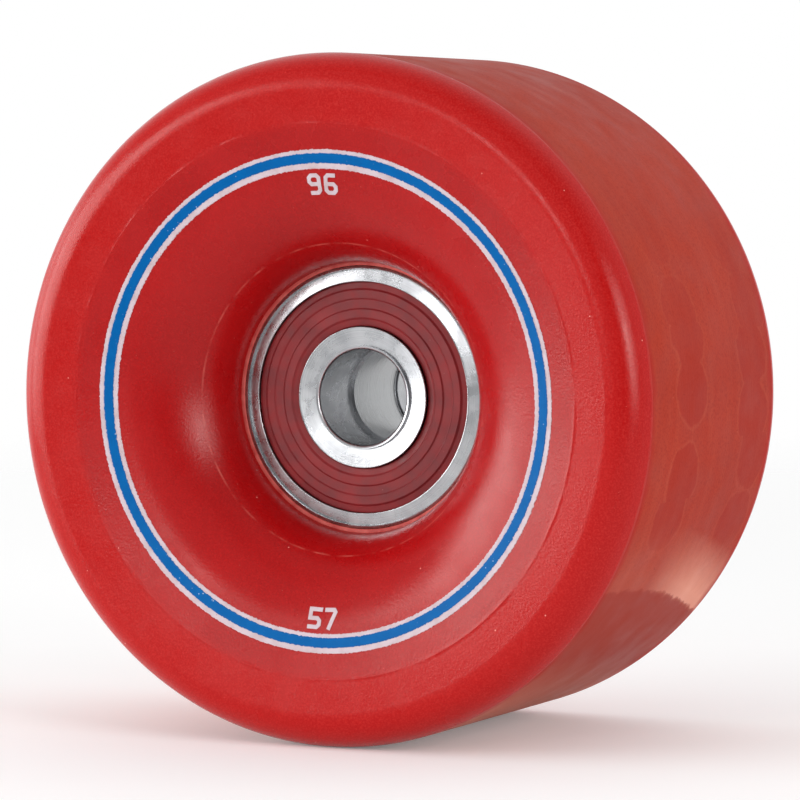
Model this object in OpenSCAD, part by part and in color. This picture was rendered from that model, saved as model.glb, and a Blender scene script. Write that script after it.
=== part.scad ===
// Roller skate wheel: a one-piece cast urethane wheel with two sealed ball bearings and a spacer.
// The origin is the middle of the wheel, the axle runs along Y, and the printed face looks to -Y.

/* [Casting] */
// Diameter over the ground tread
wheel_d = 57; // [54:0.5:65]
// Width of the straight tread between the two rounded lips
tread_w = 26.4; // [22:0.2:32]
// Radius of the rounded lip at each edge of the tread
lip_r = 2.8; // [2.4:0.1:4]
// Distance from the tread in to the mould line where the lip meets the face
lip_band = 5.8; // [5.6:0.1:7]
// Depth of the mould line below the top of the lip
face_drop = 0.35; // [0.2:0.05:1.4]
// Slope of the printed face, in degrees, down from the mould line towards the axle
face_tilt = 10; // [0:0.5:14]
// Width of the flat rim around each bearing seat
rim_w = 0.3; // [0.1:0.05:1]
// Depth of the rear bearing below the rear mould line
rear_recess = 1.15; // [0.6:0.05:3]
// Thickness of the web between the bearing seats, and length of the spacer
web_w = 8; // [6:0.5:11]
// Diameter of the hole through the web
web_bore_d = 14; // [12:0.5:17]
// Chamfer on the rear edge of that hole
web_chamfer = 0.4; // [0.2:0.1:0.8]

/* [Bearings] */
// Outside diameter of a bearing
bearing_d = 22; // [21:0.5:24]
// Bore of a bearing, which is the size of the axle
bearing_bore = 8; // [7:0.5:9]
// Width of a bearing
bearing_w = 7; // [6.5:0.1:8]
// Diameter of a ball
ball_d = 3.969; // [3.7:0.001:4.1]
// Number of balls in a bearing
ball_count = 7; // [6:1:8]
// Gap between the lands of the inner and the outer ring
race_gap = 3.2; // [2.8:0.1:3.5]
// Running gap between a ball and its raceway
race_clearance = 0.03; // [0.01:0.01:0.06]
// Chamfer on the corners of the rings
ring_chamfer = 0.3; // [0.1:0.05:0.4]
// Radial thickness of the cage
cage_t = 1.8; // [1.4:0.1:2]
// How far the cage reaches past the middle of the balls
cage_grip = 0.9; // [0.5:0.1:1.2]
// Gap between a ball and its pocket in the cage
cage_clearance = 0.06; // [0.03:0.01:0.1]
// Gap between the cage and the seal beside it
cage_side_gap = 0.2; // [0.1:0.05:0.3]

/* [Seals] */
// Thickness of the rubber of a seal
seal_w = 0.6; // [0.4:0.05:0.7]
// Thickness of the steel washer behind the rubber
washer_w = 0.25; // [0.15:0.05:0.3]
// Depth of the seal below the faces of the rings
seal_inset = 0.15; // [0.05:0.05:0.3]
// Radial depth of the step in the outer ring that holds the seal
seal_step = 0.55; // [0.4:0.05:0.7]
// Running gap between the lip of the seal and the inner ring
seal_clearance = 0.05; // [0.02:0.01:0.1]
// Width of the lowered edges of the seal's face
seal_edge_w = 0.55; // [0.3:0.05:0.8]
// Depth of the lowered edges of the seal's face
seal_edge_drop = 0.15; // [0.05:0.05:0.25]

/* [Spacer] */
// Outside diameter of the spacer
spacer_d = 10.8; // [10:0.1:11.5]
// Radial clearance of the axle in the spacer
spacer_clearance = 0.2; // [0.05:0.05:0.3]
// Chamfer at the ends of the spacer
spacer_chamfer = 0.25; // [0.1:0.05:0.4]

/* [Prints] */
// Distance from the mould line in to the middle of the printed ring
print_inset = 2.9; // [2:0.1:3.4]
// Width of the white ring under the blue one
white_w = 1.6; // [1.2:0.1:2]
// Width of the blue ring
blue_w = 0.8; // [0.5:0.1:1]
// How far the blue ring is printed off the middle of the white one
blue_shift = 0.08; // [0:0.01:0.15]
// Margin between the printed ring and the edge of the dish
print_margin = 0.5; // [0.3:0.1:1]
// Thickness of a layer of ink
ink_t = 0.05; // [0.03:0.01:0.1]
// Height of a printed digit
digit_h = 1.75; // [1.2:0.05:2]
// Width of a printed digit
digit_w = 1.2; // [0.9:0.05:1.4]
// Width of the line of a printed digit
digit_line = 0.33; // [0.2:0.01:0.36]
// How far from its point a corner of a digit is cut off
digit_round = 0.2; // [0.1:0.02:0.28]
// Distance between the middles of two digits
digit_pitch = 1.55; // [1.45:0.05:1.8]
// Gap between the digits and the printed ring
digit_gap = 0.35; // [0.2:0.05:0.6]

/* [Hidden] */

$fn = 96;
// Angle between two points of an arc in the casting's outline
arc_step = 6;

urethane_red = "#b8282b";
ink_white = "#e4d8de";
ink_blue = "#0068b4";
ring_steel = "#c3c6ca";
seal_red = "#8f1f24";
cage_nylon = "#d9d4c6";
spacer_grey = "#b4b6b8";

// Heights along the axle are measured from the wheel's middle towards the printed face.
wheel_r = wheel_d / 2;
lip_top = tread_w / 2 + lip_r;
mould_line_t = lip_top - face_drop;
mould_line_r = wheel_r - lip_band;
print_r = mould_line_r - print_inset;
print_inner_r = print_r - white_w / 2;
print_outer_r = print_r + white_w / 2;
dish_edge_r = print_inner_r - print_margin;
seat_r = bearing_d / 2;
rim_r = seat_r + rim_w;
web_bore_r = web_bore_d / 2;
rear_mouth_t = rear_recess - mould_line_t;
rear_shoulder_t = rear_mouth_t + bearing_w;
front_shoulder_t = rear_shoulder_t + web_w;
front_mouth_t = front_shoulder_t + bearing_w;
front_middle_t = front_shoulder_t + bearing_w / 2;
rear_middle_t = rear_mouth_t + bearing_w / 2;

axle_r = bearing_bore / 2;
pitch_r = (bearing_d + bearing_bore) / 4;
ball_r = ball_d / 2;
race_r = ball_r + race_clearance;
inner_land_r = pitch_r - race_gap / 2;
outer_land_r = pitch_r + race_gap / 2;
seal_r = outer_land_r + seal_step;
seal_lip_r = inner_land_r + seal_clearance;
seal_top = bearing_w / 2 - seal_inset;
seal_back = seal_top - seal_w;
washer_back = seal_back - washer_w;
cage_top = washer_back - cage_side_gap;

digit_base_r = print_inner_r - digit_gap;
digit_turn = asin(digit_pitch / 2 / digit_base_r);
digit_side = (digit_w - digit_line) / 2;
digit_foot = digit_line / 2;
digit_middle = digit_h / 2;
digit_top = digit_h - digit_line / 2;

// Height of the printed face at a radius
function face_t(r) = mould_line_t - (mould_line_r - r) * tan(face_tilt);

// Points of an arc about a centre, from one angle to another
function arc(centre, radius, from, to) =
    let (steps = max(1, ceil(abs(to - from) / arc_step)), step = (to - from) / steps)
    [for (i = [0:steps]) centre + radius * [cos(from + i * step), sin(from + i * step)]];

// Angle of the straight line from a point that touches a circle on its upper side
function touching_angle(point, centre, radius) =
    let (d = centre - point)
    atan2(d[1], d[0]) + asin(radius / norm(d));

// Outline of a dish: a quarter round that is steep at the rim of a bearing seat and runs out into the face
function dish(mouth_t) = [
    for (angle = [0:arc_step:90])
        let (r = dish_edge_r - (dish_edge_r - rim_r) * cos(angle))
        [r, mouth_t + (face_t(r) - mouth_t) * sin(angle)]
];

// Outline of one side of the casting, from the mouth of its bearing seat out to the tread.
// The face has an edge at each radius where a print begins or ends.
function side_outline(mouth_t, print_edges) =
    let (
        lip = [wheel_r - lip_r, tread_w / 2],
        mould_line = [mould_line_r, mould_line_t],
        lip_angle = touching_angle(mould_line, lip, lip_r)
    )
    concat(
        [[seat_r, mouth_t]],
        dish(mouth_t),
        [for (r = print_edges) [r, face_t(r)]],
        [mould_line],
        arc(lip, lip_r, lip_angle + 90, 0)
    );

function unit(v) = v / norm(v);

function square_to(v) = [-v[1], v[0]];

// A path with the corners between its ends cut off
function eased(path) = [
    for (i = [0:len(path) - 1])
        for (side = i == 0 || i == len(path) - 1 ? [0] : [-1, 1])
            side == 0 ? path[i] : path[i] + digit_round * unit(path[i + side] - path[i])
];

// Where the edge of a line runs beside a point of its path, for a line that is 2 wide
function beside(path, i) =
    let (
        last = len(path) - 1,
        before = square_to(unit(path[max(i, 1)] - path[max(i, 1) - 1])),
        after = square_to(unit(path[min(i + 1, last)] - path[min(i + 1, last) - 1]))
    )
    (before + after) / (1 + before * after);

function mirrored(points) = [for (i = [len(points) - 1:-1:0]) [points[i][0], -points[i][1]]];

casting_outline = concat(
    [[web_bore_r, front_shoulder_t], [seat_r, front_shoulder_t]],
    side_outline(front_mouth_t, [print_inner_r, print_outer_r]),
    mirrored(side_outline(-rear_mouth_t, [])),
    [
        [seat_r, rear_shoulder_t],
        [web_bore_r + web_chamfer, rear_shoulder_t],
        [web_bore_r, rear_shoulder_t + web_chamfer]
    ]
);

// Turns the axle, drawn along Z, to lie along Y with the printed face to -Y.
module on_axle() {
    rotate([90, 0, 0]) children();
}

// Places a bearing that is drawn about its own middle, with its outside face up.
module in_front_seat() {
    on_axle() translate([0, 0, front_middle_t]) children();
}

module in_rear_seat() {
    on_axle() translate([0, 0, rear_middle_t]) mirror([0, 0, 1]) children();
}

module flat_ring(inner_r, outer_r, from_t, to_t) {
    rotate_extrude()
        translate([inner_r, from_t])
            square([outer_r - inner_r, to_t - from_t]);
}

module casting_form() {
    rotate_extrude() polygon(casting_outline);
}

module outer_ring() {
    half_w = bearing_w / 2;
    color(ring_steel)
        rotate_extrude()
            difference() {
                polygon([
                    [outer_land_r, -washer_back],
                    [seal_r, -washer_back],
                    [seal_r, -half_w],
                    [seat_r - ring_chamfer, -half_w],
                    [seat_r, ring_chamfer - half_w],
                    [seat_r, half_w - ring_chamfer],
                    [seat_r - ring_chamfer, half_w],
                    [seal_r, half_w],
                    [seal_r, washer_back],
                    [outer_land_r, washer_back]
                ]);
                translate([pitch_r, 0]) circle(r = race_r);
            }
}

module inner_ring() {
    half_w = bearing_w / 2;
    color(ring_steel)
        rotate_extrude()
            difference() {
                polygon([
                    [axle_r, ring_chamfer - half_w],
                    [axle_r + ring_chamfer, -half_w],
                    [inner_land_r, -half_w],
                    [inner_land_r, half_w],
                    [axle_r + ring_chamfer, half_w],
                    [axle_r, half_w - ring_chamfer]
                ]);
                translate([pitch_r, 0]) circle(r = race_r);
            }
}

module at_each_ball() {
    for (i = [0:ball_count - 1])
        rotate(i * 360 / ball_count)
            translate([pitch_r, 0, 0])
                children();
}

module balls() {
    color(ring_steel)
        at_each_ball() sphere(r = ball_r);
}

// A crown cage: a ring on the inner side of the balls whose pockets grip them past their middles.
module cage() {
    color(cage_nylon)
        difference() {
            flat_ring(pitch_r - cage_t / 2, pitch_r + cage_t / 2, -cage_top, cage_grip);
            at_each_ball() sphere(r = ball_r + cage_clearance);
        }
}

module seal() {
    color(seal_red)
        rotate_extrude()
            polygon([
                [seal_lip_r, seal_back],
                [seal_r, seal_back],
                [seal_r, seal_top - seal_edge_drop],
                [seal_r - seal_edge_w, seal_top - seal_edge_drop],
                [seal_r - seal_edge_w - seal_edge_drop, seal_top],
                [seal_lip_r + seal_edge_w + seal_edge_drop, seal_top],
                [seal_lip_r + seal_edge_w, seal_top - seal_edge_drop],
                [seal_lip_r, seal_top - seal_edge_drop]
            ]);
}

module seal_washer() {
    color(ring_steel)
        flat_ring(seal_lip_r + seal_edge_w, seal_r - seal_step / 2, washer_back, seal_back);
}

// The inner side of a bearing carries the same pieces as its outside face, turned over.
module turned_over() {
    mirror([0, 0, 1]) children();
}

module line(path) {
    half_w = digit_line / 2;
    polygon(concat(
        [for (i = [0:len(path) - 1]) path[i] + half_w * beside(path, i)],
        [for (i = [len(path) - 1:-1:0]) path[i] - half_w * beside(path, i)]
    ));
}

// Digits are drawn about the middle of their own width, with their base on the X axis.
module digit_six() {
    line(eased([
        [digit_side, digit_top],
        [-digit_side, digit_top],
        [-digit_side, digit_foot],
        [digit_side, digit_foot],
        [digit_side, digit_middle],
        [0, digit_middle]
    ]));
    line([[-digit_side, digit_middle], [0, digit_middle]]);
}

module digit_nine() {
    translate([0, digit_h]) rotate(180) digit_six();
}

module digit_five() {
    line([
        [digit_w / 2, digit_top],
        [-digit_side, digit_top],
        [-digit_side, digit_middle]
    ]);
    line(eased([
        [-digit_w / 2, digit_middle],
        [digit_side, digit_middle],
        [digit_side, digit_foot],
        [-digit_w / 2, digit_foot]
    ]));
}

module digit_seven() {
    line(eased([
        [-digit_w / 2, digit_top],
        [digit_side, digit_top],
        [-digit_side / 2, 0]
    ]));
}

// Two digits side by side, their feet towards the printed ring, in ink that follows the casting.
module number_print(turn) {
    color(ink_white)
        on_axle()
            difference() {
                intersection() {
                    for (side = [0, 1])
                        rotate(turn + (2 * side - 1) * digit_turn)
                            translate([0, -digit_base_r, front_mouth_t])
                                linear_extrude(height = lip_top - front_mouth_t)
                                    children(side);
                    translate([0, 0, ink_t]) casting_form();
                }
                casting_form();
            }
}

module wheel_casting() {
    color(urethane_red) on_axle() casting_form();
}

// A layer of ink as wide as the white ring, which follows the slope of the face.
module ink_layer(layer) {
    inner_t = face_t(print_inner_r);
    outer_t = face_t(print_outer_r);
    translate([0, 0, layer * ink_t])
        rotate_extrude()
            polygon([
                [print_inner_r, inner_t],
                [print_outer_r, outer_t],
                [print_outer_r, outer_t + ink_t],
                [print_inner_r, inner_t + ink_t]
            ]);
}

module white_ring_print() {
    color(ink_white) on_axle() ink_layer(0);
}

module blue_ring_print() {
    color(ink_blue)
        on_axle()
            intersection() {
                ink_layer(1);
                translate([0, blue_shift, 0])
                    flat_ring(print_r - blue_w / 2, print_r + blue_w / 2, front_mouth_t, lip_top);
            }
}

module size_number_print() {
    number_print(0) {
        digit_five();
        digit_seven();
    }
}

module hardness_number_print() {
    number_print(180) {
        digit_nine();
        digit_six();
    }
}

module bearing_spacer() {
    outer_r = spacer_d / 2;
    bore_r = axle_r + spacer_clearance;
    color(spacer_grey)
        on_axle()
            rotate_extrude()
                polygon([
                    [bore_r, rear_shoulder_t],
                    [outer_r - spacer_chamfer, rear_shoulder_t],
                    [outer_r, rear_shoulder_t + spacer_chamfer],
                    [outer_r, front_shoulder_t - spacer_chamfer],
                    [outer_r - spacer_chamfer, front_shoulder_t],
                    [bore_r, front_shoulder_t]
                ]);
}

module front_outer_ring() { in_front_seat() outer_ring(); }
module front_inner_ring() { in_front_seat() inner_ring(); }
module front_balls() { in_front_seat() balls(); }
module front_cage() { in_front_seat() cage(); }
module front_face_seal() { in_front_seat() seal(); }
module front_back_seal() { in_front_seat() turned_over() seal(); }
module front_face_seal_washer() { in_front_seat() seal_washer(); }
module front_back_seal_washer() { in_front_seat() turned_over() seal_washer(); }

module rear_outer_ring() { in_rear_seat() outer_ring(); }
module rear_inner_ring() { in_rear_seat() inner_ring(); }
module rear_balls() { in_rear_seat() balls(); }
module rear_cage() { in_rear_seat() cage(); }
module rear_face_seal() { in_rear_seat() seal(); }
module rear_back_seal() { in_rear_seat() turned_over() seal(); }
module rear_face_seal_washer() { in_rear_seat() seal_washer(); }
module rear_back_seal_washer() { in_rear_seat() turned_over() seal_washer(); }

wheel_casting();
white_ring_print();
blue_ring_print();
size_number_print();
hardness_number_print();
front_outer_ring();
front_inner_ring();
front_balls();
front_cage();
front_face_seal();
front_back_seal();
front_face_seal_washer();
front_back_seal_washer();
bearing_spacer();
rear_outer_ring();
rear_inner_ring();
rear_balls();
rear_cage();
rear_face_seal();
rear_back_seal();
rear_face_seal_washer();
rear_back_seal_washer();
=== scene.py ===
"""Roller skate wheel: a cast urethane wheel with printed rings, two sealed bearings and a spacer."""
import math

import bpy
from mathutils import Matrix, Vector, noise


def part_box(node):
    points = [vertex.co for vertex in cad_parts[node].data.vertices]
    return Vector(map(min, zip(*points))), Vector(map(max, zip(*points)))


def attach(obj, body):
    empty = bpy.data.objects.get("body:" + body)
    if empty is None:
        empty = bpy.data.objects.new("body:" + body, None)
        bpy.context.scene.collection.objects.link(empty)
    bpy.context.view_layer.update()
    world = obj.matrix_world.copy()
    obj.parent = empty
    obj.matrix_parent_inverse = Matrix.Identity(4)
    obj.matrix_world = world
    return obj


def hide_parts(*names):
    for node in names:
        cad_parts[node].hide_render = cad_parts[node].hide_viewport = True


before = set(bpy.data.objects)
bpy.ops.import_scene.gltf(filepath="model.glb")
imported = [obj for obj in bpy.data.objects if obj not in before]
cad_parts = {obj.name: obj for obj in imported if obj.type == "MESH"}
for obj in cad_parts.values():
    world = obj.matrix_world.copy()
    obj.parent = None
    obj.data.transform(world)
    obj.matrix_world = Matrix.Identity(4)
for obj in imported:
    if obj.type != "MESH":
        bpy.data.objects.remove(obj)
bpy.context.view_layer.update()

# Sizes are in millimetres. Heights run along the axle from the wheel's middle towards the printed face (-Y).
MM = 0.001


def reach(node):
    """Outside radius of a node, and its lowest and highest height."""
    low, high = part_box(node)
    return high.x / MM, -high.y / MM, -low.y / MM


# Casting
WHEEL_R, _, LIP_TOP = reach("wheel_casting")
SEAT_R, FRONT_SHOULDER, FRONT_MOUTH = reach("front_outer_ring")
_, REAR_MOUTH, REAR_SHOULDER = reach("rear_outer_ring")
LIP_R = 2.8
LIP_BAND = 5.8
FACE_DROP = 0.35
FACE_TILT = 10.0
RIM_W = 0.3
RIM_ROUND = 0.12
WEB_BORE_R = 7.0
WEB_CHAMFER = 0.4
MOULD_R = WHEEL_R - LIP_BAND
MOULD_T = LIP_TOP - FACE_DROP
MOULD_CORE_R = 12.9
FRONT_SEED = 10
REAR_SEED = 40

# Depth to which the tread is ground into the lips, and how it wavers around the wheel
TREAD_CUT = 0.005
TREAD_CUT_WAVE = 0.004
TREAD_CUT_WAVES = 14

# Ridge left by the mould between face and lip. It comes and goes around the wheel.
# Its points are in half widths, and the outer two keep its shading off the face.
RIDGE_HALF_W = 0.16
RIDGE_H = 0.04
RIDGE_LEVEL = 0.35
RIDGE_FINE = 0.6
RIDGE_WAVES = 60
RIDGE_FINE_WAVES = 260
RIDGE_SEED = 5
RIDGE_FINE_SEED = 9
RIDGE_POINTS = (-2, -1, -0.5, 0, 0.5, 1, 2)

# Prints
WHITE_R, _, _ = reach("white_ring_print")
WHITE_W = 1.6
BLUE_W = 0.8
BLUE_SHIFT = 0.08
INK_T = 0.05
INK_RAG = 0.06
INK_FINE_RAG = 0.7
INK_WAVES = 700
INK_FINE_WAVES = 1500
PRINT_MARGIN = 0.5
PRINT_R = WHITE_R - WHITE_W / 2
DISH_EDGE_R = PRINT_R - WHITE_W / 2 - PRINT_MARGIN

# Bearings, measured from the middle of their width with the outside face up
BEARING_HALF_W = (FRONT_MOUTH - FRONT_SHOULDER) / 2
INNER_LAND_R, _, _ = reach("front_inner_ring")
SEAL_R, _, SEAL_FRONT = reach("front_face_seal")
BALL_PITCH_R = 7.5
RACE_R = 2.0145
AXLE_R = 4.0
OUTER_LAND_R = 2 * BALL_PITCH_R - INNER_LAND_R
SEAL_W = 0.6
WASHER_W = 0.25
SEAL_GAP = 0.05
SEAL_EDGE_W = 0.55
SEAL_EDGE_DROP = 0.15
SEAL_GROOVE_W = 0.7
SEAL_GROOVE_D = 0.12
SEAL_TOP = SEAL_FRONT - (FRONT_MOUTH + FRONT_SHOULDER) / 2
WASHER_BACK = SEAL_TOP - SEAL_W - WASHER_W
RING_ROUND = 0.3
EDGE_ROUND = 0.07

# Fineness of the meshes
CASTING_SEGMENTS = 480
PRINT_SEGMENTS = 2400
BEARING_SEGMENTS = 192
ROUND_STEPS = 4
DISH_STEPS = 40
LIP_STEPS = 28
RACE_STEPS = 16
SHARP_ANGLE = 32
ZONE_SLACK = 0.001


# Shapes
def arc(centre, radius, start, end, steps):
    """Points of an arc about a centre, from one angle to another in degrees."""
    turns = [math.radians(start + (end - start) * i / steps) for i in range(steps + 1)]
    return [(centre[0] + radius * math.cos(a), centre[1] + radius * math.sin(a)) for a in turns]


def touching_angle(point, centre, radius):
    """Angle of the straight line from a point that touches a circle on its upper side."""
    across, up = centre[0] - point[0], centre[1] - point[1]
    return math.degrees(math.atan2(up, across) + math.asin(radius / math.hypot(across, up)))


def rounded(corners):
    """A closed outline whose (radius, height, round) corners are rounded."""
    points = []
    for i, (r, t, round_r) in enumerate(corners):
        corner = Vector((r, t))
        if not round_r:
            points.append((r, t))
            continue
        before = (Vector(corners[i - 1][:2]) - corner).normalized()
        after = (Vector(corners[(i + 1) % len(corners)][:2]) - corner).normalized()
        half = before.angle(after) / 2
        centre = corner + (before + after).normalized() * round_r / math.sin(half)
        out = corner - centre
        sweep = math.copysign(90 - math.degrees(half), before.x * after.y - before.y * after.x)
        middle = math.degrees(math.atan2(out.y, out.x))
        points += arc(centre, round_r, middle - sweep, middle + sweep, ROUND_STEPS)
    return points


def wave(angle, count, seed):
    """Smooth noise from -1 to 1 around the axle, with about count waves in a turn."""
    reach_r = count / math.tau
    return noise.noise(Vector((reach_r * math.cos(angle), reach_r * math.sin(angle), seed)))


def signed_area(points):
    """Area of an outline, positive where its faces come out pointing away from the solid."""
    total = 0
    for (r1, t1), (r2, t2) in zip(points, points[1:] + points[:1]):
        total += r1 * t2 - r2 * t1
    return -total / 2


def turned(name, outline, segments, surfaces, zone=None):
    """Turns a closed outline about the axle. outline(angle) gives (radius, height) points in millimetres,
    and zone(first, second) the number of the surface between two neighbouring points."""
    rings = [outline(math.tau * k / segments) for k in range(segments)]
    count = len(rings[0])
    places = []
    for k, ring in enumerate(rings):
        angle = math.tau * k / segments
        places += [(r * math.cos(angle) * MM, -t * MM, r * math.sin(angle) * MM) for r, t in ring]
    faces = []
    zones = []
    for i in range(count):
        j = (i + 1) % count
        number = zone(rings[0][i], rings[0][j]) if zone else 0
        for k in range(segments):
            here, there = k * count, (k + 1) % segments * count
            faces.append((here + i, here + j, there + j, there + i))
            zones.append(number)
    mesh = bpy.data.meshes.new(name)
    mesh.from_pydata(places, [], faces)
    for surface in surfaces:
        mesh.materials.append(surface)
    mesh.polygons.foreach_set("material_index", zones)
    if signed_area(rings[0]) < 0:
        mesh.flip_normals()
    mesh.shade_smooth()
    mesh.set_sharp_from_angle(angle=math.radians(SHARP_ANGLE))
    piece = bpy.data.objects.new(name, mesh)
    bpy.context.scene.collection.objects.link(piece)
    return piece


def face_t(r):
    """Height of the printed face at a radius."""
    return MOULD_T - (MOULD_R - r) * math.tan(math.radians(FACE_TILT))


def dish(mouth_t):
    """A quarter round that is steep at the rim of a bearing seat and runs out into the face."""
    points = []
    for i in range(DISH_STEPS + 1):
        turn = math.pi / 2 * i / DISH_STEPS
        r = DISH_EDGE_R - (DISH_EDGE_R - SEAT_R - RIM_W) * math.cos(turn)
        points.append((r, mouth_t + (face_t(r) - mouth_t) * math.sin(turn)))
    return points


def mould_ridge(angle, lip_angle, seed):
    """The ridge where the face meets the lip, which leaves it at an angle in degrees."""
    fine = RIDGE_FINE * wave(angle, RIDGE_FINE_WAVES, seed + RIDGE_FINE_SEED)
    full_h = RIDGE_H * max(0.0, RIDGE_LEVEL + wave(angle, RIDGE_WAVES, seed + RIDGE_SEED) + fine)
    points = []
    for step in RIDGE_POINTS:
        slope = math.radians(FACE_TILT if step < 0 else lip_angle)
        along = step * RIDGE_HALF_W
        height = full_h * math.cos(step * math.pi / 2) ** 2 if abs(step) < 1 else 0.0
        points.append((MOULD_R + along * math.cos(slope), MOULD_T + along * math.sin(slope) + height))
    return points


def casting_side(mouth_t, angle, seed):
    """One side of the casting, from the mouth of its bearing seat out to the ground tread."""
    cut = TREAD_CUT + TREAD_CUT_WAVE * wave(angle, TREAD_CUT_WAVES, seed)
    lip = (WHEEL_R - LIP_R + cut, LIP_TOP - LIP_R)
    lip_angle = touching_angle((MOULD_R, MOULD_T), lip, LIP_R)
    tread_angle = math.degrees(math.acos(1 - cut / LIP_R))
    return (
        arc((SEAT_R + RIM_ROUND, mouth_t - RIM_ROUND), RIM_ROUND, 180, 90, ROUND_STEPS)
        + dish(mouth_t)
        + mould_ridge(angle, lip_angle, seed)
        + arc(lip, LIP_R, lip_angle + 90, tread_angle, LIP_STEPS)
    )


def casting_outline(angle):
    """Outline of the whole casting at an angle about the axle."""
    rear = casting_side(-REAR_MOUTH, angle, REAR_SEED)
    return (
        [(WEB_BORE_R, FRONT_SHOULDER), (SEAT_R, FRONT_SHOULDER)]
        + casting_side(FRONT_MOUTH, angle, FRONT_SEED)
        + [(r, -t) for r, t in reversed(rear)]
        + [(SEAT_R, REAR_SHOULDER), (WEB_BORE_R + WEB_CHAMFER, REAR_SHOULDER)]
        + [(WEB_BORE_R, REAR_SHOULDER + WEB_CHAMFER)]
    )


def casting_zone(first, second):
    """0 for the cast skin, 1 for the ground tread, 2 for the cut rims and seats of the bearings."""
    if min(first[0], second[0]) > WHEEL_R - ZONE_SLACK:
        return 1
    if max(first[0], second[0]) < SEAT_R + RIM_W + ZONE_SLACK:
        return 2
    return 0


def ink_rag(angle, seed):
    """How far the edge of a print strays at an angle about the axle."""
    return INK_RAG * (wave(angle, INK_WAVES, seed) + INK_FINE_RAG * wave(angle, INK_FINE_WAVES, seed + 1))


def ring_print(name, inner_r, outer_r, layer, shift, surface):
    """A printed ring with slightly ragged edges, lying on the face or on the layer of ink below it."""

    def outline(angle):
        offset = shift * math.sin(angle)
        low = inner_r + offset + ink_rag(angle, layer + 1)
        high = outer_r + offset + ink_rag(angle, layer + 3)
        bottom = layer * INK_T
        skew = INK_T / 2
        return [
            (low, face_t(low) + bottom),
            (low + skew, face_t(low) + bottom + INK_T),
            (high - skew, face_t(high) + bottom + INK_T),
            (high, face_t(high) + bottom),
        ]

    return turned(name, outline, PRINT_SEGMENTS, [surface])


def outer_ring_outline():
    """Outer ring of a bearing, with its raceway and a step for each seal."""
    half_angle = math.degrees(math.acos((OUTER_LAND_R - BALL_PITCH_R) / RACE_R))
    half_w = BEARING_HALF_W
    shell = rounded([
        (OUTER_LAND_R, WASHER_BACK, 0),
        (SEAL_R, WASHER_BACK, 0),
        (SEAL_R, half_w, EDGE_ROUND),
        (SEAT_R, half_w, RING_ROUND),
        (SEAT_R, -half_w, RING_ROUND),
        (SEAL_R, -half_w, EDGE_ROUND),
        (SEAL_R, -WASHER_BACK, 0),
        (OUTER_LAND_R, -WASHER_BACK, 0),
    ])
    return shell + arc((BALL_PITCH_R, 0), RACE_R, -half_angle, half_angle, RACE_STEPS)


def inner_ring_outline():
    """Inner ring of a bearing, with its raceway."""
    half_angle = math.degrees(math.acos((BALL_PITCH_R - INNER_LAND_R) / RACE_R))
    half_w = BEARING_HALF_W
    shell = rounded([
        (INNER_LAND_R, -half_w, EDGE_ROUND),
        (AXLE_R, -half_w, RING_ROUND),
        (AXLE_R, half_w, RING_ROUND),
        (INNER_LAND_R, half_w, EDGE_ROUND),
    ])
    return shell + arc((BALL_PITCH_R, 0), RACE_R, 180 - half_angle, 180 + half_angle, RACE_STEPS)


def seal_outline():
    """Rubber seal with lowered edges and a shallow groove round the middle of its face."""
    inner_r = INNER_LAND_R + SEAL_GAP
    low = SEAL_TOP - SEAL_EDGE_DROP
    step_in = inner_r + SEAL_EDGE_W
    step_out = SEAL_R - SEAL_EDGE_W
    middle = (step_in + step_out) / 2
    groove = SEAL_GROOVE_W / 2
    floor_t = SEAL_TOP - SEAL_GROOVE_D
    return rounded([
        (inner_r, SEAL_TOP - SEAL_W, 0),
        (inner_r, low, EDGE_ROUND),
        (step_in, low, EDGE_ROUND),
        (step_in + SEAL_EDGE_DROP, SEAL_TOP, EDGE_ROUND),
        (middle - groove - SEAL_GROOVE_D, SEAL_TOP, EDGE_ROUND),
        (middle - groove, floor_t, EDGE_ROUND),
        (middle + groove, floor_t, EDGE_ROUND),
        (middle + groove + SEAL_GROOVE_D, SEAL_TOP, EDGE_ROUND),
        (step_out - SEAL_EDGE_DROP, SEAL_TOP, EDGE_ROUND),
        (step_out, low, EDGE_ROUND),
        (SEAL_R, low, EDGE_ROUND),
        (SEAL_R, SEAL_TOP - SEAL_W, 0),
    ])


# Materials
def srgb(red, green, blue):
    """A colour as it looks on screen, 0 to 255, for a shader."""
    parts = [c / 255 for c in (red, green, blue)]
    linear = [c / 12.92 if c <= 0.04045 else ((c + 0.055) / 1.055) ** 2.4 for c in parts]
    return (*linear, 1.0)


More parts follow.
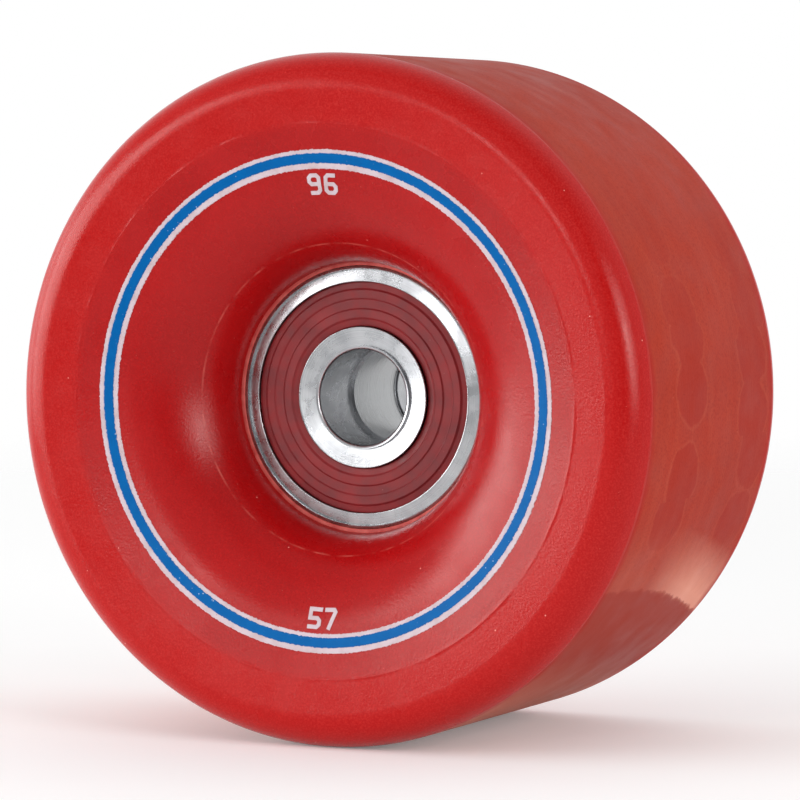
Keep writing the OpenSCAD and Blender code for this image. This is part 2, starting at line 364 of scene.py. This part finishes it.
class Surface:
    """A material with one shader, whose nodes are added and joined by what they do."""

    def __init__(self, name, **constants):
        self.material = bpy.data.materials.new(name)
        self.material.use_nodes = True
        self.tree = self.material.node_tree
        self.shader = self.tree.nodes["Principled BSDF"]
        for socket, value in constants.items():
            self.shader.inputs[socket.replace("_", " ")].default_value = value
        self.place = self.add("TexCoord").outputs["Object"]
        self.normal = None

    def add(self, kind, **settings):
        node = self.tree.nodes.new("ShaderNode" + kind)
        for key, value in settings.items():
            setattr(node, key, value)
        return node

    def feed(self, socket, value):
        """Joins a socket to another node's output, or sets it to a constant."""
        if isinstance(value, bpy.types.NodeSocket):
            self.tree.links.new(value, socket)
        else:
            socket.default_value = value

    def calc(self, operation, first, second=0.0):
        node = self.add("Math", operation=operation)
        self.feed(node.inputs[0], first)
        self.feed(node.inputs[1], second)
        return node.outputs[0]

    def times(self, first, second):
        return self.calc("MULTIPLY", first, second)

    def plus(self, first, second):
        return self.calc("ADD", first, second)

    def apart(self, first, second):
        """Distance between two values."""
        return self.calc("ABSOLUTE", self.calc("SUBTRACT", first, second))

    def around(self):
        """Angle about the axle, distance from it and place along it."""
        axes = self.add("SeparateXYZ")
        self.feed(axes.inputs[0], self.place)
        x, y, z = axes.outputs
        square = self.plus(self.times(x, x), self.times(z, z))
        return self.calc("ARCTAN2", z, x), self.calc("SQRT", square), y

    def stretched(self, factors):
        """Places scaled along X, Y and Z, so that a small factor draws features out along its axis."""
        node = self.add("VectorMath", operation="MULTIPLY")
        self.feed(node.inputs[0], self.place)
        node.inputs[1].default_value = factors
        return node.outputs[0]

    def noise(self, size, detail=2.0, place=None):
        """Soft noise with features of about a size in millimetres."""
        node = self.add("TexNoise")
        self.feed(node.inputs["Vector"], place or self.place)
        node.inputs["Scale"].default_value = 1 / (size * MM)
        node.inputs["Detail"].default_value = detail
        return node.outputs[0]

    def lines(self, value, size, detail=3.0):
        """Noise that changes only with one value, which gives fine parallel lines."""
        node = self.add("TexNoise", noise_dimensions="1D")
        self.feed(node.inputs["W"], value)
        node.inputs["Scale"].default_value = 1 / (size * MM)
        node.inputs["Detail"].default_value = detail
        return node.outputs[0]

    def ramp(self, value, low, high, to_low=0.0, to_high=1.0):
        """A value between two limits, carried over to two others and held there beyond them."""
        node = self.add("MapRange")
        for key, number in zip(("Value", "From Min", "From Max", "To Min", "To Max"),
                               (value, low, high, to_low, to_high)):
            self.feed(node.inputs[key], number)
        return node.outputs[0]

    def uneven(self, size, detail, least, most):
        """A value that drifts between two others, in patches of about a size."""
        return self.ramp(self.noise(size, detail), 0.3, 0.7, least, most)

    def blend(self, factor, first, second):
        """Passes from one colour to another as the factor goes from 0 to 1."""
        node = self.add("Mix", data_type="RGBA")
        for number, value in ((0, factor), (6, first), (7, second)):
            self.feed(node.inputs[number], value)
        return node.outputs[2]

    def mottled(self, size, detail, first, second):
        """Two colours that pass into each other, in patches of about a size."""
        return self.blend(self.uneven(size, detail, 0.0, 1.0), first, second)

    def specks(self, spacing, size, share, place=None):
        """1 inside round specks of a size, spaced in millimetres, in a share of the places for them."""
        cells = self.add("TexVoronoi")
        self.feed(cells.inputs["Vector"], place or self.place)
        cells.inputs["Scale"].default_value = 1 / (spacing * MM)
        dot = self.ramp(cells.outputs["Distance"], size / spacing, 0.6 * size / spacing)
        return self.times(dot, self.ramp(cells.outputs["Color"], 1 - share, 1.01 - share))

    def speckled(self, colour, tint, strength, spacing, size, share, place=None):
        """A colour with specks of another on it."""
        return self.blend(self.times(self.specks(spacing, size, share, place), strength), colour, tint)

    def bump(self, height, depth):
        """Adds relief, with its depth in millimetres."""
        node = self.add("Bump")
        node.inputs["Distance"].default_value = depth * MM
        self.feed(node.inputs["Height"], height)
        if self.normal:
            self.feed(node.inputs["Normal"], self.normal)
        self.normal = node.outputs[0]

    def done(self, colour, roughness):
        self.feed(self.shader.inputs["Base Color"], colour)
        self.feed(self.shader.inputs["Roughness"], roughness)
        if self.normal:
            self.feed(self.shader.inputs["Normal"], self.normal)
        return self.material


# Bands of the cast skin, by their distance from the axle, and how much it shines
LIP_FROM, LIP_TO = MOULD_R - 0.5, MOULD_R + 0.4
WORN_FROM, WORN_STRAY, WORN_SHARE = WHEEL_R - 0.05, 0.02, 0.5
MATTE_FROM, MATTE_TO = WHEEL_R - 0.25, WHEEL_R - 0.02
FACE_SHINE, LIP_SHINE, EDGE_SHINE = 0.33, 0.28, 0.08
LIP_GLOSS, LIP_GLOSS_W, WORN_MATTE = -0.03, 1.0, 0.15
CORE_LINE_W, CORE_LINE_FULL_W, CORE_LINE_SHARE = 0.07, 0.03, 0.45


def cast_urethane():
    """Red urethane as it comes from the turned mould, with a fine grain and specks of dust."""
    s = Surface("cast_urethane", Specular_Tint=(1.0, 0.8, 0.77, 1.0))
    _, radius, along = s.around()
    shine = s.plus(s.ramp(radius, LIP_FROM * MM, LIP_TO * MM, FACE_SHINE, LIP_SHINE),
                   s.ramp(radius, MATTE_FROM * MM, MATTE_TO * MM, 0.0, EDGE_SHINE - LIP_SHINE))
    s.feed(s.shader.inputs["Specular IOR Level"], shine)
    colour = s.blend(s.ramp(s.noise(7.0, 4.0), 0.35, 0.65), srgb(156, 4, 8), srgb(164, 6, 10))
    # The lip gets a lighter red than the face. This is painted light, for the extra light the lip catches.
    on_lip = s.ramp(radius, LIP_FROM * MM, LIP_TO * MM)
    colour = s.blend(on_lip, colour, srgb(172, 8, 9))
    grain = s.blend(on_lip, srgb(190, 20, 20), srgb(200, 44, 40))
    colour = s.blend(s.ramp(s.noise(0.15), 0.4, 0.75, 0.0, 0.55), colour, grain)
    line = s.ramp(s.apart(radius, MOULD_CORE_R * MM), CORE_LINE_W * MM, CORE_LINE_FULL_W * MM)
    line = s.times(line, s.ramp(s.noise(1.4, 4.0), 0.4, 0.65, 0.0, CORE_LINE_SHARE))
    colour = s.blend(line, colour, srgb(222, 112, 100))
    colour = s.speckled(colour, srgb(226, 112, 102), 0.6, spacing=0.7, size=0.04, share=0.4)
    colour = s.speckled(colour, srgb(238, 160, 148), 0.8, spacing=1.9, size=0.075, share=0.45)
    colour = s.speckled(colour, srgb(96, 12, 16), 0.8, spacing=3.1, size=0.07, share=0.4)
    edge = s.plus(radius, s.uneven(2.0, 4.0, -WORN_STRAY * MM, WORN_STRAY * MM))
    worn = s.ramp(edge, WORN_FROM * MM, WHEEL_R * MM, 0.0, WORN_SHARE)
    colour = s.blend(worn, colour, srgb(172, 52, 40))
    s.bump(s.noise(0.9, 3.0), 0.004)
    s.bump(s.noise(0.2), 0.014)
    s.bump(s.lines(s.plus(radius, along), 1.1), 0.006)
    rough = s.uneven(2.4, 4.0, 0.23, 0.32)
    rough = s.plus(rough, s.ramp(radius, MOULD_R * MM, (MOULD_R + LIP_GLOSS_W) * MM, 0.0, LIP_GLOSS))
    return s.done(colour, s.plus(rough, s.times(worn, WORN_MATTE)))


# Worn patches on the tread: their size, and the place along the axle and the seed of each row
PATCH_L = 4.8
PATCH_HALF_W = 3.3
PATCH_STRAY = 1.8
PATCH_ROUND = 0.62
PATCH_RAG = 0.22
PATCH_RIM, PATCH_INSIDE, PATCH_EDGE_W = 1.05, 0.85, 0.16
PATCH_ROWS = ((-5.5, 2.4), (9.5, 7.7))

# Angles about the axle, in radians, between which marks on the tread, a painted highlight, a darker stretch
# and a painted sheen come up and fade again
PATCHES_COME, PATCHES_FADE = (0.6, 0.05), (-0.5, -0.4)
HIGHLIGHT_COMES, HIGHLIGHT_FADES = (-0.33, -0.51), (-0.565, -0.545)
DARK_STRETCH_COMES, DARK_STRETCH_FADES = (-0.545, -0.555), (-1.25, -0.85)
SHEEN_COMES, SHEEN_FADES = (-0.8, -1.1), (-1.9, -1.45)

# The bowed and torn edge of the darker stretch, where the painted highlight ends
DARK_STRETCH_BOW, DARK_STRETCH_BOW_FROM, DARK_STRETCH_BOW_W, DARK_STRETCH_RAG = 0.096, 13.3, 20, 0.018
# Places along the axle between which the painted highlight fades to its least
HIGHLIGHT_FROM, HIGHLIGHT_TO, HIGHLIGHT_LEAST = -4, 7, 0.12

# Places along the axle between which the tread passes into the fresher red of the lips
FRESH_FROM, FRESH_TO, FRESH_STRAY, FRESH_SHARE = 12.3, 13.4, 0.3, 0.75


def worn_row(s, angle, along, middle, seed):
    """A row of rounded patches around the tread, about a place along the axle: their insides and edges."""
    cells = s.add("TexVoronoi", voronoi_dimensions="1D")
    s.feed(cells.inputs["W"], s.plus(s.times(angle, WHEEL_R / PATCH_L), seed))
    cells.inputs["Scale"].default_value = 1.0
    cells.inputs["Randomness"].default_value = 0.7
    centre = s.ramp(cells.outputs["Color"], 0.0, 1.0, (middle - PATCH_STRAY) * MM, (middle + PATCH_STRAY) * MM)
    around = s.calc("DIVIDE", cells.outputs["Distance"], PATCH_ROUND)
    across = s.calc("DIVIDE", s.calc("SUBTRACT", along, centre), PATCH_HALF_W * MM)
    away = s.plus(s.times(around, around), s.times(across, across))
    away = s.plus(away, s.uneven(2.5, 3.0, -PATCH_RAG, PATCH_RAG))
    edge = s.ramp(s.apart(away, PATCH_RIM), PATCH_EDGE_W, 0.0)
    return s.ramp(away, PATCH_RIM, PATCH_INSIDE), edge


def ground_urethane():
    """The ground tread: matte and browner, with streaks around it, worn patches, a painted highlight, a darker
    stretch, a painted sheen and pits.
    """
    s = Surface("ground_urethane", Specular_IOR_Level=0.05, Specular_Tint=(1.0, 0.75, 0.6, 1.0))
    angle, _, along = s.around()
    drawn_out = s.stretched((0.12, 1, 0.12))
    colour = s.mottled(6.0, 5.0, srgb(162, 46, 29), srgb(172, 54, 35))
    colour = s.blend(s.ramp(s.noise(1.2, 5.0, drawn_out), 0.45, 0.75, 0.0, 0.3), colour, srgb(184, 74, 52))
    colour = s.blend(s.ramp(s.noise(0.2), 0.45, 0.75, 0.0, 0.5), colour, srgb(128, 22, 14))
    worn_stretch = s.times(s.ramp(angle, *PATCHES_COME), s.ramp(angle, *PATCHES_FADE))
    for middle, seed in PATCH_ROWS:
        inside, edge = worn_row(s, angle, along, middle, seed)
        colour = s.blend(s.times(s.times(inside, worn_stretch), 0.5), colour, srgb(156, 34, 24))
        colour = s.blend(s.times(s.times(edge, worn_stretch), 0.12), colour, srgb(204, 108, 88))
    bow = s.calc("DIVIDE", s.plus(along, DARK_STRETCH_BOW_FROM * MM), DARK_STRETCH_BOW_W * MM)
    torn = s.plus(angle, s.times(s.times(bow, bow), DARK_STRETCH_BOW))
    torn = s.plus(torn, s.ramp(s.noise(0.9, 4.0), 0.0, 1.0, -DARK_STRETCH_RAG, DARK_STRETCH_RAG))
    # A pale patch on the tread, fading along the axle, is a painted highlight.
    painted_highlight = s.times(s.ramp(torn, *HIGHLIGHT_COMES), s.ramp(torn, *HIGHLIGHT_FADES))
    painted_highlight = s.times(painted_highlight, s.ramp(along, HIGHLIGHT_FROM * MM, HIGHLIGHT_TO * MM, HIGHLIGHT_LEAST))
    colour = s.blend(painted_highlight, colour, srgb(230, 154, 132))
    # A darker stretch of the tread, just past the painted highlight.
    dark_stretch = s.times(s.ramp(torn, *DARK_STRETCH_COMES), s.ramp(torn, *DARK_STRETCH_FADES))
    colour = s.blend(s.times(dark_stretch, 0.75), colour, srgb(154, 52, 40))
    # Paler towards the bottom of the tread: a painted sheen, standing in for grazing light from the white
    # floor.
    painted_sheen = s.times(s.ramp(torn, *SHEEN_COMES, 0.0, 0.6), s.ramp(torn, *SHEEN_FADES))
    colour = s.blend(painted_sheen, colour, srgb(204, 138, 118))
    colour = s.speckled(colour, srgb(92, 20, 16), 0.8, spacing=2.2, size=0.08, share=0.45)
    colour = s.speckled(colour, srgb(96, 24, 20), 0.7, spacing=1.1, size=0.06, share=0.2, place=drawn_out)
    colour = s.speckled(colour, srgb(206, 128, 112), 0.6, spacing=1.5, size=0.05, share=0.4)
    out = s.plus(s.calc("ABSOLUTE", along), s.uneven(2.0, 4.0, -FRESH_STRAY * MM, FRESH_STRAY * MM))
    fresh = s.ramp(out, FRESH_FROM * MM, FRESH_TO * MM, 0.0, FRESH_SHARE)
    colour = s.blend(fresh, colour, srgb(168, 16, 14))
    s.bump(s.lines(along, 0.25, 4.0), 0.008)
    s.bump(s.noise(0.3, 4.0), 0.008)
    return s.done(colour, s.uneven(3.0, 3.0, 0.42, 0.56))


def cut_urethane():
    """Frosted urethane where the bearing seats and their rims are cut."""
    s = Surface("cut_urethane", Specular_IOR_Level=0.4)
    _, radius, _ = s.around()
    s.bump(s.lines(radius, 0.06), 0.01)
    return s.done(s.mottled(0.8, 4.0, srgb(184, 60, 56), srgb(206, 96, 88)), s.uneven(0.5, 2.0, 0.5, 0.65))


def ink(name, full, thin, hole):
    """Pad-printed ink: a little thin in places, with pinholes that show what is under it."""
    s = Surface(name, Specular_IOR_Level=0.06)
    colour = s.blend(s.ramp(s.noise(1.1, 4.0), 0.42, 0.75), full, thin)
    pinholed = s.ramp(s.noise(9.0), 0.5, 0.6, 0.1, 0.9)
    colour = s.speckled(colour, hole, pinholed, spacing=0.5, size=0.06, share=0.5)
    s.bump(s.noise(0.15, 3.0), 0.004)
    return s.done(colour, s.uneven(0.9, 2.0, 0.28, 0.42))


def ground_steel():
    """Ground bearing steel, with fine rings on its faces and a few darker stains."""
    s = Surface("ground_steel", Metallic=1.0)
    _, radius, along = s.around()
    rings = s.lines(s.plus(radius, along), 0.05)
    tone = s.plus(s.ramp(rings, 0.3, 0.7, 0.0, 0.5), s.uneven(2.2, 4.0, 0.0, 0.5))
    s.bump(rings, 0.0015)
    return s.done(s.blend(tone, srgb(150, 152, 156), srgb(204, 205, 207)), s.uneven(1.2, 4.0, 0.2, 0.36))


def polished_steel():
    """Polished bearing balls under a thin uneven film of grease."""
    s = Surface("polished_steel", Metallic=1.0)
    film = s.ramp(s.noise(1.5, 4.0), 0.35, 0.7)
    return s.done(s.blend(film, srgb(206, 207, 209), srgb(176, 172, 160)), s.ramp(film, 0.0, 1.0, 0.08, 0.26))


def sheet_steel():
    """Rolled sheet steel of the washers in the seals."""
    s = Surface("sheet_steel", Metallic=1.0)
    s.bump(s.noise(0.2, 3.0), 0.004)
    return s.done(s.mottled(0.9, 5.0, srgb(140, 142, 146), srgb(186, 187, 190)), s.uneven(0.6, 2.0, 0.3, 0.46))


def moulded_nylon():
    """Ivory nylon of the ball cages."""
    s = Surface("moulded_nylon", Subsurface_Weight=0.15, Subsurface_Scale=0.5 * MM)
    s.bump(s.noise(0.25, 3.0), 0.006)
    return s.done(s.mottled(1.4, 3.0, srgb(206, 200, 182), srgb(228, 222, 206)), s.uneven(0.7, 2.0, 0.36, 0.5))


def moulded_rubber():
    """Dark red moulded rubber with a fine grain and a little dust."""
    s = Surface("moulded_rubber", Specular_IOR_Level=0.4)
    colour = s.mottled(1.6, 4.0, srgb(112, 18, 24), srgb(140, 26, 30))
    colour = s.speckled(colour, srgb(190, 130, 124), 0.7, spacing=0.8, size=0.035, share=0.4)
    s.bump(s.noise(0.1, 3.0), 0.008)
    return s.done(colour, s.uneven(0.8, 2.0, 0.42, 0.58))


def turned_aluminium():
    """Turned aluminium of the spacer, with fine tool marks around it."""
    s = Surface("turned_aluminium", Metallic=1.0)
    _, radius, along = s.around()
    marks = s.lines(s.plus(radius, along), 0.12)
    s.bump(marks, 0.006)
    return s.done(s.blend(marks, srgb(158, 160, 162), srgb(202, 203, 204)), s.ramp(marks, 0.3, 0.7, 0.24, 0.4))


# Pieces
def fit(piece, body, slot, *nodes):
    """Lets a piece move with a body and stand for the nodes it replaces."""
    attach(piece, body)
    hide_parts(*nodes)


def dress(node, surface):
    """Gives a node that keeps its own shape a finish."""
    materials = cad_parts[node].data.materials
    materials.clear()
    materials.append(surface)


def bearing_piece(side, part, outline, surface, body, slot):
    """A turned piece of the front or rear bearing, drawn about the bearing's middle."""
    front = side == "front"
    middle = (FRONT_MOUTH + FRONT_SHOULDER) / 2 if front else (REAR_MOUTH + REAR_SHOULDER) / 2
    placed = [(r, middle + t if front else middle - t) for r, t in outline]
    piece = turned(f"{side}_{part}_turned", lambda angle: placed, BEARING_SEGMENTS, [surface])
    fit(piece, body, slot, f"{side}_{part}")


def make_wheel():
    surfaces = [cast_urethane(), ground_urethane(), cut_urethane()]
    casting = turned("cast_wheel", casting_outline, CASTING_SEGMENTS, surfaces, casting_zone)
    fit(casting, "wheel", "urethane", "wheel_casting")
    white = ink("white_ink", srgb(206, 190, 197), srgb(192, 170, 173), srgb(190, 120, 124))
    blue = ink("blue_ink", srgb(0, 91, 158), srgb(0, 97, 166), srgb(190, 205, 225))
    white_ring = ring_print("white_ring", WHITE_R - WHITE_W, WHITE_R, 0, 0, white)
    fit(white_ring, "wheel", "white_ink", "white_ring_print")
    blue_ring = ring_print("blue_ring", PRINT_R - BLUE_W / 2, PRINT_R + BLUE_W / 2, 1, BLUE_SHIFT, blue)
    fit(blue_ring, "wheel", "blue_ink", "blue_ring_print")
    for node in ("size_number_print", "hardness_number_print"):
        dress(node, white)


def make_bearings():
    steel = ground_steel()
    balls = polished_steel()
    washers = sheet_steel()
    nylon = moulded_nylon()
    rubber = moulded_rubber()
    dress("bearing_spacer", turned_aluminium())
    for side in ("front", "rear"):
        bearing_piece(side, "outer_ring", outer_ring_outline(), steel, "wheel", "bearing_steel")
        bearing_piece(side, "inner_ring", inner_ring_outline(), steel, "axle_side", "bearing_steel")
        bearing_piece(side, "face_seal", seal_outline(), rubber, "wheel", "seal_rubber")
        dress(f"{side}_back_seal", rubber)
        dress(f"{side}_face_seal_washer", washers)
        dress(f"{side}_back_seal_washer", washers)
        dress(f"{side}_balls", balls)
        dress(f"{side}_cage", nylon)


# Studio: angles in degrees, lengths in metres, places in the picture in pixels
CAMERA_AZIMUTH = 25.54
CAMERA_ELEVATION = 3.08
CAMERA_DISTANCE = 0.3579
CLIP_START = 0.01
IMAGE_PX = 800
FOCAL_PX = 4219.6
MIDDLE_PX = (400.7, 393.1)
FLOOR_R = 0.4
FLOOR_FADE_R = 0.06
FLOOR_SIDES = 96
FLOOR_WHITE = (0.9, 0.9, 0.9, 1.0)
FLOOR_GLOW = 0.15

# The room is grey in front of the wheel and white behind it, and a little paler above
ROOM_GREY = 0.2
ROOM_GREY_TO = -0.6
ROOM_WHITE_FROM = 0.65
ROOM_RISE = 0.25

# Each lamp's azimuth, elevation, width, height and radiance, of which 1 looks white
LAMP_DISTANCE = 0.6
LAMPS = {
    "left_softbox": (-55, 8, 0.5, 0.26, 6.7),
    "far_left_softbox": (-92, 8, 0.24, 0.26, 2.0),
    "right_softbox": (68, 13, 0.3, 0.3, 3.9),
    "right_lamp": (63, 12, 0.08, 0.1, 16.0),
    "front_lamp": (-13, 9, 0.1, 0.08, 10.0),
    "front_softbox": (-12, 26, 0.9, 0.56, 0.46),
}


def direction(azimuth, elevation):
    """Unit vector from the wheel: azimuth 0 is in front of the printed face and 90 to its right."""
    a, e = math.radians(azimuth), math.radians(elevation)
    return Vector((math.sin(a) * math.cos(e), -math.cos(a) * math.cos(e), math.sin(e)))


def look_at_wheel(thing, azimuth, elevation, distance):
    """Puts a camera or lamp in a direction from the wheel, facing it."""
    thing.location = direction(azimuth, elevation) * distance
    thing.rotation_euler = (-thing.location).to_track_quat("-Z", "Y").to_euler()
    bpy.context.scene.collection.objects.link(thing)


def make_camera():
    lens = bpy.data.cameras.new("camera")
    lens.lens = FOCAL_PX / IMAGE_PX * lens.sensor_width
    lens.shift_x = (IMAGE_PX / 2 - MIDDLE_PX[0]) / IMAGE_PX
    lens.shift_y = (MIDDLE_PX[1] - IMAGE_PX / 2) / IMAGE_PX
    lens.clip_start = CLIP_START
    camera = bpy.data.objects.new("camera", lens)
    look_at_wheel(camera, CAMERA_AZIMUTH, CAMERA_ELEVATION, CAMERA_DISTANCE)
    bpy.context.scene.camera = camera


def make_lamp(name, azimuth, elevation, width, height, radiance):
    """A rectangular lamp facing the wheel."""
    light = bpy.data.lights.new(name, "AREA")
    light.shape = "RECTANGLE"
    light.size = width
    light.size_y = height
    light.energy = radiance * math.pi * width * height
    lamp = bpy.data.objects.new(name, light)
    lamp.visible_camera = False
    look_at_wheel(lamp, azimuth, elevation, LAMP_DISTANCE)


def make_floor():
    """A round white floor under the tread, which fades out into the background."""
    z = -WHEEL_R * MM
    edge = [math.tau * k / FLOOR_SIDES for k in range(FLOOR_SIDES)]
    mesh = bpy.data.meshes.new("floor")
    rim = [(FLOOR_R * math.cos(a), FLOOR_R * math.sin(a), z) for a in edge]
    mesh.from_pydata(rim, [], [range(FLOOR_SIDES)])
    floor = bpy.data.objects.new("floor", mesh)
    bpy.context.scene.collection.objects.link(floor)
    s = Surface("floor", Roughness=0.9, Specular_IOR_Level=0.0, Base_Color=FLOOR_WHITE)
    s.shader.inputs["Emission Color"].default_value = (1, 1, 1, 1)
    ray = s.add("LightPath").outputs
    seen = s.plus(s.plus(ray["Is Camera Ray"], ray["Is Glossy Ray"]), ray["Is Transmission Ray"])
    s.feed(s.shader.inputs["Emission Strength"], s.times(seen, FLOOR_GLOW))
    away = s.add("VectorMath", operation="LENGTH")
    s.feed(away.inputs[0], s.place)
    mix = s.add("MixShader")
    s.feed(mix.inputs[0], s.ramp(away.outputs["Value"], FLOOR_FADE_R, FLOOR_R))
    s.feed(mix.inputs[1], s.shader.outputs[0])
    s.feed(mix.inputs[2], s.add("BsdfTransparent").outputs[0])
    s.feed(s.tree.nodes["Material Output"].inputs["Surface"], mix.outputs[0])
    mesh.materials.append(s.material)


def make_world():
    """White behind the wheel, passing into a grey room in front of it."""
    world = bpy.data.worlds.new("studio")
    world.use_nodes = True
    tree = world.node_tree
    place = tree.nodes.new("ShaderNodeTexCoord").outputs["Generated"]
    axes = tree.nodes.new("ShaderNodeSeparateXYZ")
    tree.links.new(place, axes.inputs[0])
    rise = tree.nodes.new("ShaderNodeMath")
    rise.operation = "MULTIPLY_ADD"
    rise.inputs[1].default_value = ROOM_RISE
    tree.links.new(axes.outputs["Z"], rise.inputs[0])
    tree.links.new(axes.outputs["Y"], rise.inputs[2])
    ramp = tree.nodes.new("ShaderNodeMapRange")
    limits = {"From Min": ROOM_GREY_TO, "From Max": ROOM_WHITE_FROM, "To Min": ROOM_GREY, "To Max": 1.0}
    for key, value in limits.items():
        ramp.inputs[key].default_value = value
    tree.links.new(rise.outputs[0], ramp.inputs["Value"])
    tree.links.new(ramp.outputs[0], tree.nodes["Background"].inputs["Color"])
    bpy.context.scene.world = world


def make_studio():
    make_camera()
    make_floor()
    make_world()
    for name, settings in LAMPS.items():
        make_lamp(name, *settings)
    bpy.context.scene.view_settings.view_transform = "Standard"


make_wheel()
make_bearings()
make_studio()
